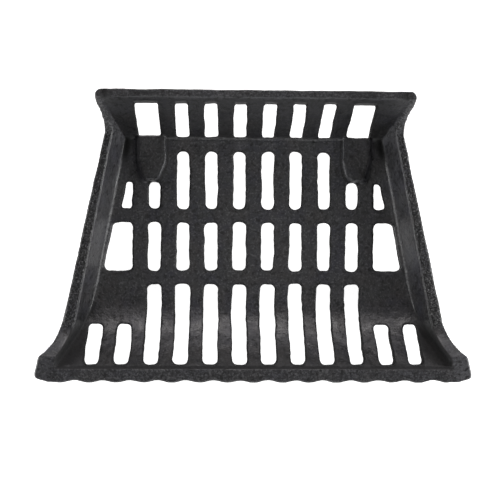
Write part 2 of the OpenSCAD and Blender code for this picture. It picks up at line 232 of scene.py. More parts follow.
class NodeDesk:
    """Lays out one material's nodes."""

    def __init__(self, name: str) -> None:
        """Starts an empty material with a Principled shader.

        Args:
            name: Name of the material.
        """
        self.material = bpy.data.materials.new(name)
        self.material.use_nodes = True
        self.tree = self.material.node_tree
        self.shader = self.tree.nodes["Principled BSDF"]

    def node(self, kind: str, **settings: object) -> bpy.types.Node:
        """Adds a node.

        Args:
            kind: Blender's name of the node's type.
            **settings: Properties of the node, by name.

        Returns:
            The new node.
        """
        made = self.tree.nodes.new(kind)
        for name, value in settings.items():
            setattr(made, name, value)
        return made

    def link(self, source: Socket, target: Socket) -> None:
        """Joins two sockets."""
        self.tree.links.new(source, target)

    def object_coordinates(self) -> Socket:
        """Returns the piece's own coordinates, in metres."""
        return self.node("ShaderNodeTexCoord").outputs["Object"]

    def grain(self, coordinates: Socket, grain: Grain) -> Socket:
        """Adds a noise pattern.

        Args:
            coordinates: Where the pattern is read.
            grain: The pattern.

        Returns:
            The pattern's value, from 0 to 1.
        """
        made = self.node("ShaderNodeTexNoise", noise_dimensions="3D")
        made.inputs["Scale"].default_value = 1.0 / grain.size
        made.inputs["Detail"].default_value = grain.detail
        made.inputs["Roughness"].default_value = grain.roughness
        made.inputs["Distortion"].default_value = grain.distortion
        self.link(coordinates, made.inputs["Vector"])
        return made.outputs["Fac"]

    def ranged(self, value: Socket, span: Span, onto: Span = (0.0, 1.0)) -> Socket:
        """Maps a value from one range to another, and keeps it inside.

        Args:
            value: Value to map.
            span: The values that become the ends of the new range.
            onto: The new range.

        Returns:
            The mapped value.
        """
        made = self.node("ShaderNodeMapRange", clamp=True)
        ends = ("From Min", "From Max", "To Min", "To Max")
        for name, number in zip(ends, (*span, *onto)):
            made.inputs[name].default_value = number
        self.link(value, made.inputs["Value"])
        return made.outputs["Result"]

    def math(self, operation: str, a: Socket, b: Socket | float) -> Socket:
        """Combines two values.

        Args:
            operation: Name of the Math node's operation.
            a: First value.
            b: Second value, or a number.

        Returns:
            The result.
        """
        made = self.node("ShaderNodeMath", operation=operation)
        self.link(a, made.inputs[0])
        if isinstance(b, Socket):
            self.link(b, made.inputs[1])
        else:
            made.inputs[1].default_value = b
        return made.outputs["Value"]

    def mixed(self, share: Socket, a: Socket | Triple, b: Socket | Triple) -> Socket:
        """Mixes two colours.

        Args:
            share: How much of b there is.
            a: First colour.
            b: Second colour.

        Returns:
            The mixed colour.
        """
        made = self.node("ShaderNodeMix", data_type="RGBA")
        colours = [s for s in made.inputs if s.type == "RGBA"]
        self.link(share, made.inputs[0])
        for socket, colour in zip(colours, (a, b)):
            if isinstance(colour, Socket):
                self.link(colour, socket)
            else:
                socket.default_value = (*colour, 1.0)
        return next(s for s in made.outputs if s.type == "RGBA")

    def bump(
        self, height: Socket, depth: float, strength: float, below: Socket | None = None
    ) -> Socket:
        """Adds relief.

        Args:
            height: Pattern of the relief, from 0 to 1.
            depth: Height of the relief, in metres.
            strength: How much of it shows.
            below: Normal of the coarser relief that it lies on.

        Returns:
            The new normal.
        """
        made = self.node("ShaderNodeBump")
        made.inputs["Distance"].default_value = depth
        made.inputs["Strength"].default_value = strength
        self.link(height, made.inputs["Height"])
        if below is not None:
            self.link(below, made.inputs["Normal"])
        return made.outputs["Normal"]


@dataclass(frozen=True)
class CastIronFinish:
    """Black painted grey iron with the grain of the sand it was cast in, plus painted shade and
    painted light from the casting's bands.
    """

    name: str
    cool: Triple = (0.0235, 0.0237, 0.0318)
    warm: Triple = (0.0300, 0.0279, 0.0286)
    plain: Triple = (0.0192, 0.0198, 0.0215)
    # dark colour of the pits and the rim grit, and also the painted shade of the hollow and shade
    # bands
    soot_and_painted_shade: Triple = (0.0020, 0.0020, 0.0021)
    dust: Triple = (0.077, 0.077, 0.081)
    # painted light: the paler colour of lit walls, rim ends, ears, the bend, patches and pad
    # flanks
    ash: Triple = (0.075, 0.075, 0.082)
    rim_dust: Triple = (0.095, 0.094, 0.095)
    hues: Grain = Grain(34 * MM, detail=2.0)
    hue_span: Span = (0.40, 0.60)
    patches: Grain = Grain(13 * MM, roughness=0.6)
    plain_span: Span = (0.42, 0.66)
    sheen_span: Span = (0.3, 0.7)
    sheen: Span = (0.52, 0.32)
    shade_dullness: float = 0.9
    pits: Grain = Grain(4.2 * MM, roughness=0.65, distortion=0.3)
    pit_span: Span = (0.48, 0.34)
    pit_share: float = 0.9
    pit_depth: float = 0.30 * MM
    fine: Grain = Grain(2.1 * MM, detail=2.0, roughness=0.6)
    dust_span: Span = (0.54, 0.68)
    dust_share: float = 0.75
    fine_depth: float = 0.26 * MM
    relief: float = 0.8
    grit: Grain = Grain(1.8 * MM, detail=1.0, roughness=0.5, distortion=0.6)
    dark_grit_span: Span = (0.55, 0.46)
    pale_grit_span: Span = (0.60, 0.72)
    grit_depth: float = 0.9 * MM

    def material(self) -> bpy.types.Material:
        """Builds the finish.

        Returns:
            The material, which reads the casting's rim attribute, its hollow and shade attributes
            of painted shade, and its attribute of painted light.
        """
        desk = NodeDesk(self.name)
        place = desk.object_coordinates()
        rim, hollow, shade, ash = (
            desk.node("ShaderNodeAttribute", attribute_name=band.value).outputs["Fac"]
            for band in Band
        )
        hues, patches, pits, fine, grit = (
            desk.grain(place, grain)
            for grain in (self.hues, self.patches, self.pits, self.fine, self.grit)
        )

        colour = desk.mixed(desk.ranged(hues, self.hue_span), self.cool, self.warm)
        colour = desk.mixed(desk.ranged(patches, self.plain_span), colour, self.plain)
        # painted light: paler walls, rim ends, ears, bend, front patches and pad flanks
        colour = desk.mixed(ash, colour, self.ash)
        dusty = desk.ranged(fine, self.dust_span, (0.0, self.dust_share))
        colour = desk.mixed(dusty, colour, self.dust)
        pitted = desk.ranged(pits, self.pit_span, (0.0, self.pit_share))
        colour = desk.mixed(pitted, colour, self.soot_and_painted_shade)
        dark_rim = desk.math("MULTIPLY", desk.ranged(grit, self.dark_grit_span), rim)
        colour = desk.mixed(dark_rim, colour, self.soot_and_painted_shade)
        pale_rim = desk.math("MULTIPLY", desk.ranged(grit, self.pale_grit_span), rim)
        colour = desk.mixed(pale_rim, colour, self.rim_dust)
        # painted shade: darker slot sides, creases, corners and front and back walls
        colour = desk.mixed(desk.math("MAXIMUM", hollow, shade), colour, self.soot_and_painted_shade)
        desk.link(colour, desk.shader.inputs["Base Color"])

        sheen = desk.ranged(patches, self.sheen_span, self.sheen)
        dull = desk.math("MAXIMUM", hollow, desk.math("MULTIPLY", shade, self.shade_dullness))
        desk.link(desk.math("MAXIMUM", sheen, dull), desk.shader.inputs["Roughness"])

        normal = desk.bump(pits, self.pit_depth, self.relief)
        normal = desk.bump(fine, self.fine_depth, self.relief, normal)
        normal = desk.bump(desk.math("MULTIPLY", grit, rim), self.grit_depth, 1.0, normal)
        desk.link(normal, desk.shader.inputs["Normal"])
        return desk.material


@dataclass(frozen=True)
class SteelFinish:
    """Plated steel hardware that the fire has dulled."""

    name: str
    base: Triple
    tarnish: Triple
    roughness: float
    tarnish_dullness: float = 0.22
    metallic: float = 0.9
    stains: Grain = Grain(3.0 * MM, detail=4.0, roughness=0.6)
    stain_span: Span = (0.4, 0.62)
    dull_span: Span = (0.3, 0.7)
    scratches: Grain = Grain(0.4 * MM, detail=2.0)
    scratch_depth: float = 0.02 * MM
    scratch_relief: float = 0.5

    def material(self) -> bpy.types.Material:
        """Builds the finish.

        Returns:
            The material.
        """
        desk = NodeDesk(self.name)
        place = desk.object_coordinates()
        stains = desk.grain(place, self.stains)
        scratches = desk.grain(place, self.scratches)
        colour = desk.mixed(desk.ranged(stains, self.stain_span), self.base, self.tarnish)
        desk.link(colour, desk.shader.inputs["Base Color"])
        dullness = (self.roughness, self.roughness + self.tarnish_dullness)
        dull = desk.ranged(stains, self.dull_span, dullness)
        desk.link(dull, desk.shader.inputs["Roughness"])
        normal = desk.bump(scratches, self.scratch_depth, self.scratch_relief)
        desk.link(normal, desk.shader.inputs["Normal"])
        desk.shader.inputs["Metallic"].default_value = self.metallic
        return desk.material


# ---- castings ----


@dataclass(frozen=True)
class CastFillet:
    """A concave fillet that fills the corner between two faces along a line of points."""

    path: tuple[Vector, ...]
    along_a: Vector
    along_b: Vector
    radii: tuple[float, ...]
    bury: float = 0.9 * MM
    steps: int = 9

    def add_to(self, bm: Skin) -> None:
        """Sweeps the fillet's section along its path as one closed strip.

        Args:
            bm: Mesh that the strip is added to.
        """
        a, b = self.along_a.normalized(), self.along_b.normalized()
        half = a.angle(b) / 2
        radius = self.radii[0]
        reach = radius / math.tan(half)
        middle = (a + b).normalized() * radius / math.sin(half)
        start = a * reach - middle
        end = b * reach - middle
        arc = [
            middle + start.slerp(end, i / self.steps).normalized() * radius
            for i in range(self.steps + 1)
        ]
        sunk = -(a + b) * self.bury
        section = [sunk, a * reach + sunk, *arc, b * reach + sunk]
        face = bm.faces.new([bm.verts.new(self.path[0] + p) for p in section])
        made = {face}
        for i in range(1, len(self.path)):
            here, there = self.path[i - 1], self.path[i]
            grown = bmesh.ops.extrude_face_region(bm, geom=[face])["geom"]
            face = next(g for g in grown if isinstance(g, bmesh.types.BMFace))
            bmesh.ops.translate(bm, verts=face.verts[:], vec=there - here)
            bmesh.ops.scale(
                bm,
                verts=face.verts[:],
                vec=Vector((1, 1, 1)) * (self.radii[i] / self.radii[i - 1]),
                space=Matrix.Translation(-there),
            )
            made.update(g for v in face.verts for g in v.link_faces)
        bmesh.ops.recalc_face_normals(bm, faces=[f for f in made if f.is_valid])


@dataclass(frozen=True)
class MouldWear:
    """How far a sand mould's surface strays from the pattern, in metres."""

    plump: float = 0.25 * MM
    swell: float = 0.5 * MM
    swell_size: float = 24 * MM
    ripple: float = 0.16 * MM
    ripple_size: float = 5 * MM
    drift: float = 1.0 * MM
    drift_size: float = 19 * MM
    tremble: float = 0.5 * MM
    tremble_size: float = 5.5 * MM
    firm_share: float = 0.3
    seed: float = 0.0
    seed_way: Triple = (1.0, 0.7, 0.3)

    def shifted(self, place: Vector, normal: Vector, loose: float) -> Vector:
        """Finds where the mould put a point.

        Args:
            place: Point on the pattern.
            normal: Outward direction of the surface there.
            loose: How much the point may stray sideways, from 0 to 1.

        Returns:
            The point on the casting.
        """
        offset = Vector([self.seed * share for share in self.seed_way])
        swell = noise.noise(place / self.swell_size + offset) * self.swell
        ripple = noise.noise(place / self.ripple_size + offset) * self.ripple
        flat = Vector((place.x, place.y, 0.0))
        drift = noise.noise_vector(flat / self.drift_size + offset) * self.drift
        tremble = noise.noise_vector(flat / self.tremble_size + offset) * self.tremble
        sideways = (drift + tremble) * (self.firm_share + (1 - self.firm_share) * loose)
        sideways.z = 0.0
        return place + normal * (self.plump + swell + ripple) + sideways


class Casting:
    """A sand casting that starts from a CAD node's shape."""

    weld: float = 0.002 * MM
    pull: float = 0.5

    def __init__(self, node: Piece, voxel: float, wear: MouldWear) -> None:
        """Prepares a casting.

        Args:
            node: The CAD node that it replaces.
            voxel: Size of the cells that its surface is rebuilt with.
            wear: How far the mould strays.
        """
        self.node = node
        self.voxel = voxel
        self.wear = wear

    def pattern(self) -> Skin:
        """Copies the CAD node's shape.

        Returns:
            One connected mesh.
        """
        bm = bmesh.new()
        bm.from_mesh(self.node.data)
        bmesh.ops.remove_doubles(bm, verts=bm.verts[:], dist=self.weld)
        return bm

    def modified(self, bm: Skin, kind: str, **settings: object) -> Skin:
        """Runs one modifier over a mesh.

        Args:
            bm: The mesh. It is used up.
            kind: Blender's name of the modifier.
            **settings: The modifier's settings.

        Returns:
            The new mesh.
        """
        mesh = bpy.data.meshes.new("mould")
        bm.to_mesh(mesh)
        bm.free()
        holder = bpy.data.objects.new("mould", mesh)
        bpy.context.scene.collection.objects.link(holder)
        modifier = holder.modifiers.new(kind.title(), kind)
        for name, value in settings.items():
            setattr(modifier, name, value)
        made = bmesh.new()
        made.from_object(holder, bpy.context.evaluated_depsgraph_get())
        bpy.data.objects.remove(holder)
        bpy.data.meshes.remove(mesh)
        return made

    def skinned(self, bm: Skin) -> Skin:
        """Rebuilds overlapping closed shapes as one skin, and uses them up."""
        return self.modified(bm, "REMESH", mode="VOXEL", voxel_size=self.voxel)

    def rounded(self, bm: Skin, rounds: int, verts: Points | None = None) -> None:
        """Rounds the edges.

        Args:
            bm: The skin.
            rounds: How often its points are drawn towards their neighbours.
            verts: The points to move, or none for all.
        """
        for _ in range(rounds):
            bmesh.ops.smooth_vert(
                bm,
                verts=bm.verts[:] if verts is None else verts,
                factor=self.pull,
                use_axis_x=True,
                use_axis_y=True,
                use_axis_z=True,
            )

    def worn(self, bm: Skin, loose: Callable[[Vector], float]) -> None:
        """Gives the surface its mould's waves.

        Args:
            bm: The skin.
            loose: Finds how much a point may stray sideways.
        """
        bm.normal_update()
        for vert in bm.verts:
            vert.co = self.wear.shifted(vert.co, vert.normal, loose(vert.co))

    def boxed(self, bm: Skin) -> None:
        """Keeps the skin inside the box of the CAD node.

        Args:
            bm: The skin.
        """
        corners = [Vector(corner) for corner in self.node.bound_box]
        low = [min(c[axis] for c in corners) for axis in range(3)]
        high = [max(c[axis] for c in corners) for axis in range(3)]
        for vert in bm.verts:
            for axis in range(3):
                vert.co[axis] = min(high[axis], max(low[axis], vert.co[axis]))

    def thinned(self, bm: Skin, faces: int) -> Skin:
        """Leaves out points that the shape does without.

        Args:
            bm: The skin. It is used up.
            faces: Most triangles that it may keep.

        Returns:
            The lighter skin.
        """
        bmesh.ops.triangulate(bm, faces=bm.faces[:])
        share = faces / len(bm.faces)
        return self.modified(bm, "DECIMATE", ratio=min(1.0, share))

    def piece(self, bm: Skin, name: str, slot: str) -> Piece:
        """Turns the finished skin into the piece that stands for the CAD node.

        Args:
            bm: The skin. It is used up.
            name: Name of the piece.
            slot: Name of a material slot. Not used.

        Returns:
            The piece, riding on the grate's body.
        """
        self.boxed(bm)
        for face in bm.faces:
            face.smooth = True
        mesh = bpy.data.meshes.new(name)
        bm.to_mesh(mesh)
        bm.free()
        made = bpy.data.objects.new(name, mesh)
        bpy.context.scene.collection.objects.link(made)
        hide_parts(self.node.name)
        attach(made, ROOT)
        return made


class Spot:
    """A point of the basket's skin, and where it lies on the grate."""

    def __init__(self, place: Vector, normal: Vector) -> None:
        """Finds where the point lies.

        Args:
            place: Point on the skin.
            normal: Outward direction of the skin there.
        """
        self.y = place.y
        self.aside = abs(place.x)
        self.is_left = place.x < 0
        self.normal = normal.copy()
        self.inward = -math.copysign(normal.x, place.x * normal.x)
        self.height = place.z - PLAN.floor_z
        self.above = self.height - PLAN.floor_height(place.y)
        self.beside = PLAN.inner_x(place.y, self.height) - self.aside
        self.from_top = self.height - PLAN.rim_height(place.y)
        self.from_pad = abs(self.aside - PLAN.pad_x)

    def by_side(self, left: float, right: float) -> float:
        """Returns the value of the point's own side."""
        return left if self.is_left else right


@dataclass(frozen=True)
class BasketTones:
    """How rough and dull each place of the basket is, and how much painted shade or painted light
    it gets.

    A ramp's ends are distances in metres, or shares of a direction, from -1 to 1.
    """

    rim_top: Ramp = Ramp(-5 * MM, -2 * MM)
    rim_up: Ramp = Ramp(0.93, 0.98)
    rim_grit: float = 0.6
    middle_grit: float = 0.4
    middle_ramp: Ramp = Ramp(118 * MM, 100 * MM)
    ear_grit: float = 0.35
    ear_start: Ramp = Ramp(6 * MM, 0.0)
    ear_side: Ramp = Ramp(0.0, 3 * MM)
    horn_grit: float = 0.75
    horn_grit_ramp: Ramp = Ramp(98 * MM, 108 * MM)
    swoop_grit: float = 0.8
    swoop_turn: Ramp = Ramp(0.97, 0.9)
    swoop_start: Ramp = Ramp(98 * MM, 106 * MM)
    swoop_side: Ramp = Ramp(1 * MM, -1 * MM)

    # painted shade with a dull surface: slot sides, the front creases and the front rim's edge
    slot_turn: Ramp = Ramp(0.93, 0.70)
    slot_under: Ramp = Ramp(-0.85, -0.5)
    slot_depth: Ramp = Ramp(0.4 * MM, 1.6 * MM)
    slot_off_wall: Ramp = Ramp(6 * MM, 9 * MM)
    slot_top: Ramp = Ramp(1.0 * MM, 0.2 * MM)
    slot_off_foot: Ramp = Ramp(1.5 * MM, 3.5 * MM)
    slot_inside: Ramp = Ramp(-1 * MM, 0.5 * MM)
    slot_front_gap: float = 1.5 * MM
    crease_dark: float = 0.7
    crease_width: Ramp = Ramp(3.6 * MM, 1.6 * MM)
    crease_start: Ramp = Ramp(-58 * MM, -80 * MM)
    edge_dark: float = 0.8
    edge_shift: float = 0.5 * MM
    edge_width: Ramp = Ramp(3.0 * MM, 1.0 * MM)
    inside_walls: Ramp = Ramp(-1 * MM, 1 * MM)

    # the inner flank's foot gets painted shade; the other flanks and the inner flank's lip get
    # painted light
    pad_side: Ramp = Ramp(20 * MM, 18 * MM)
    pad_front: Ramp = Ramp(54 * MM, 56 * MM)
    pad_back: Ramp = Ramp(0.0, -1.5 * MM)
    pad_turn: Ramp = Ramp(0.99, 0.94)
    pad_height: Ramp = Ramp(-1.0 * MM, 0.0)
    pad_inward: Ramp = Ramp(0.0, 0.12)
    pad_foot: Ramp = Ramp(4.4 * MM, 3.4 * MM)
    pad_foot_dark: float = 0.85
    pad_lip: Ramp = Ramp(92 * MM, 70 * MM)

    # painted shade: darker front corners, front wall by the rim, back corners and back wall;
    # darker pad tops
    corner_painted_shade: float = 0.85
    corner_start: Ramp = Ramp(-66 * MM, -100 * MM)
    corner_wall: Ramp = Ramp(-2.0 * MM, -0.8 * MM)
    corner_flatness: float = 0.7
    left_reach: float = 44 * MM
    right_reach: float = 36 * MM
    full_share: float = 0.23
    right_crease: Ramp = Ramp(9 * MM, 5 * MM)
    front_wall_painted_shade: float = 0.55
    front_start: Ramp = Ramp(-103 * MM, -122 * MM)
    front_end: Ramp = Ramp(0.0, 2 * MM)
    back_corner_start: Ramp = Ramp(62 * MM, 92 * MM)
    back_corner_width: Ramp = Ramp(15 * MM, 2 * MM)
    off_wall: Ramp = Ramp(0.3 * MM, 1.6 * MM)
    pad_darkening: float = 0.3
    pad_dark_side: Ramp = Ramp(19 * MM, 15 * MM)
    pad_dark_front: Ramp = Ramp(52 * MM, 64 * MM)
    back_wall_painted_shade: float = 0.55
    back_wall_foot: Ramp = Ramp(-1 * MM, 2 * MM)
    back_wall_top: Ramp = Ramp(0.0, -2 * MM)

    # painted light: paler side walls and horns, paler rim ends and ears, a wider bend highlight
    # and paler front patches
    left_wall_light: float = 0.27
    right_wall_light: float = 0.19
    horn_wall_light: float = 1.0
    wall_turn: Ramp = Ramp(0.6, 0.85)
    wall_face: Ramp = Ramp(3 * MM, 1 * MM)
    wall_start: Ramp = Ramp(-85 * MM, -25 * MM)
    horn_start: Ramp = Ramp(86 * MM, 112 * MM)
    rim_end_light: float = 0.42
    end_start: Ramp = Ramp(108 * MM, 122 * MM)
    left_ear_light: float = 0.52
    right_ear_light: float = 1.0
    bend_highlight: float = 0.48
    bend_start: Ramp = Ramp(-90 * MM, -100 * MM)
    bend_end: Ramp = Ramp(-113 * MM, -105 * MM)
    patch_highlight: float = 0.4
    patch_side: Ramp = Ramp(98 * MM, 108 * MM)
    patch_start: Ramp = Ramp(-64 * MM, -80 * MM)
    patch_end: Ramp = Ramp(-98 * MM, -90 * MM)
    patch_off_wall: Ramp = Ramp(2 * MM, 10 * MM)

    def by_ear(self, spot: Spot) -> float:
        """Returns how much a point belongs to a front ear."""
        past_wall = spot.aside - PLAN.inner_x(spot.y, PLAN.front_rim_h)
        return self.ear_start(spot.y - PLAN.ear_y) * self.ear_side(past_wall)

    def horn_swoop(self, spot: Spot) -> float:
        """Returns how much a point belongs to the rim where it rises to a back horn."""
        share = self.rim_top(spot.from_top) * self.swoop_turn(spot.normal.z)
        return share * self.swoop_start(spot.y) * self.swoop_side(spot.beside)

    def wall_painted_light(self, spot: Spot) -> float:
        """Finds how much painted light a side wall's inner face gets, more towards the horns.

        Args:
            spot: The point.

        Returns:
            The share, from 0 to 1.
        """
        share = self.wall_turn(spot.inward) * self.wall_face(abs(spot.beside))
        low = spot.by_side(self.left_wall_light, self.right_wall_light)
        high = low + (self.horn_wall_light - low) * self.horn_start(spot.y)
        return share * self.wall_start(spot.y) * high

    def pad_flanks(self, spot: Spot) -> Span:
        """Finds how much a point belongs to a raised pad's flanks.

        Args:
            spot: The point.

        Returns:
            The shares of the inner flank's foot, which is dull with painted shade, and of the
            other flanks and the inner flank's lip, which get painted light, from 0 to 1.
        """
        share = self.pad_side(spot.from_pad) * self.pad_front(spot.y)
        share *= self.pad_back(spot.y - PLAN.back_foot_y)
        share *= self.pad_turn(spot.normal.z) * self.pad_height(spot.height)
        inward = self.pad_inward(spot.inward)
        foot = self.pad_foot(spot.height)
        lip = inward * (1.0 - foot) * self.pad_lip(spot.y)
        return self.pad_foot_dark * share * foot * inward, share * max(1.0 - inward, lip)

    def slot_side(self, spot: Spot) -> float:
        """Finds the painted shade of a slot's side, the front crease or the front rim's edge.

        Args:
            spot: The point.

        Returns:
            The share, from 0 to 1.
        """
        if not PLAN.front_rim_y - self.slot_front_gap < spot.y < PLAN.horn_y:
            return 0.0
        upward = spot.normal.dot(PLAN.facing(spot.y))
        free = self.slot_off_wall(spot.beside) * self.slot_top(spot.above)
        free *= self.slot_off_foot(abs(spot.y - PLAN.back_foot_y))
        side = self.slot_turn(upward) * self.slot_under(upward) * self.slot_inside(spot.beside)
        side *= max(self.slot_depth(-spot.above), free)
        crease = self.crease_width(math.hypot(spot.beside, spot.above))
        crease *= self.crease_dark * self.crease_start(spot.y)
        edge = self.edge_width(abs(spot.y - PLAN.front_rim_y - self.edge_shift))
        edge *= self.edge_dark * self.inside_walls(spot.beside)
        return max(side, crease, edge)

    def front_shade(self, spot: Spot) -> float:
        """Finds how much painted shade a point of the curved front wall gets.

        Args:
            spot: The point.

        Returns:
            The share, from 0 to 1.
        """
        from_crease = math.hypot(spot.beside, self.corner_flatness * spot.above)
        reach = spot.by_side(self.left_reach, self.right_reach)
        corner = self.corner_painted_shade * Ramp(reach, self.full_share * reach)(from_crease)
        if not spot.is_left:
            corner = max(corner, self.right_crease(from_crease))
        corner *= self.corner_start(spot.y) * self.corner_wall(spot.beside)
        by_rim = self.front_wall_painted_shade * self.front_start(spot.y) * self.inside_walls(spot.beside)
        return max(corner, by_rim) * self.front_end(spot.y - PLAN.front_rim_y)

    def back_shade(self, spot: Spot) -> float:
        """Finds the painted shade of the floor's back corners and the back wall, and how much
        darker the pads are.

        Args:
            spot: The point.

        Returns:
            The share, from 0 to 1.
        """
        off_wall = self.off_wall(spot.beside)
        corner = self.back_corner_start(spot.y) * self.back_corner_width(spot.beside) * off_wall
        on_pad = self.pad_darkening * self.pad_dark_side(spot.from_pad) * self.pad_dark_front(spot.y)
        low = max(corner, on_pad)
        on_wall = self.back_wall_foot(spot.y - PLAN.back_foot_y)
        on_wall *= self.back_wall_top(spot.y - PLAN.horn_y)
        return low + on_wall * (self.back_wall_painted_shade * off_wall - low)

    def rim(self, spot: Spot) -> float:
        """Finds how gritty a point is: the rims, the horns and the ears.

        Args:
            spot: The point.

        Returns:
            The share, from 0 to 1.
        """
        along = self.rim_grit + self.middle_grit * self.middle_ramp(abs(spot.y))
        along += (self.ear_grit - along) * self.by_ear(spot)
        top = self.rim_top(spot.from_top) * self.rim_up(spot.normal.z) * along
        horn = self.horn_grit * self.horn_grit_ramp(spot.y) * self.wall_painted_light(spot)
        return max(top, horn, self.swoop_grit * self.horn_swoop(spot))

    def hollow(self, spot: Spot) -> float:
        """Returns how dull a point is and how much painted shade it gets."""
        return max(self.slot_side(spot), self.pad_flanks(spot)[0])

    def shade(self, spot: Spot) -> float:
        """Returns the painted shade of a point: the corners, the front and back walls, and the
        darker pads.
        """
        return max(self.front_shade(spot), self.back_shade(spot))

    def ash(self, spot: Spot) -> float:
        """Finds the painted light of a point: the walls, the rims' ends, the bend, the front
        patches and the pads' flanks.

        Args:
            spot: The point.

        Returns:
            The share, from 0 to 1.
        """
        ear_light = spot.by_side(self.left_ear_light, self.right_ear_light)
        end = self.rim_end_light + (ear_light - self.rim_end_light) * self.by_ear(spot)
        end *= self.rim_top(spot.from_top) * self.end_start(abs(spot.y))
        bend = self.bend_highlight * self.bend_start(spot.y) * self.bend_end(spot.y)
        patch = self.patch_highlight * self.patch_side(spot.aside) * self.patch_start(spot.y)
        patch *= self.patch_end(spot.y)
        patch *= self.patch_off_wall(PLAN.inner_x(spot.y) - spot.aside)
        flank = self.pad_flanks(spot)[1]
        return max(end, bend, patch, flank, self.wall_painted_light(spot), self.horn_swoop(spot))

    def mark(self, mesh: bpy.types.Mesh) -> None:
        """Writes each point's shares of the bands, which the finish reads.

        Args:
            mesh: The finished basket.
        """
        finders = {
            Band.RIM: self.rim,
            Band.HOLLOW: self.hollow,
            Band.SHADE: self.shade,
            Band.ASH: self.ash,
        }
        spots = [Spot(vert.co, vert.normal) for vert in mesh.vertices]
        for band, find in finders.items():
            made = mesh.attributes.new(band.value, "FLOAT", "POINT")
            made.data.foreach_set("value", [find(spot) for spot in spots])


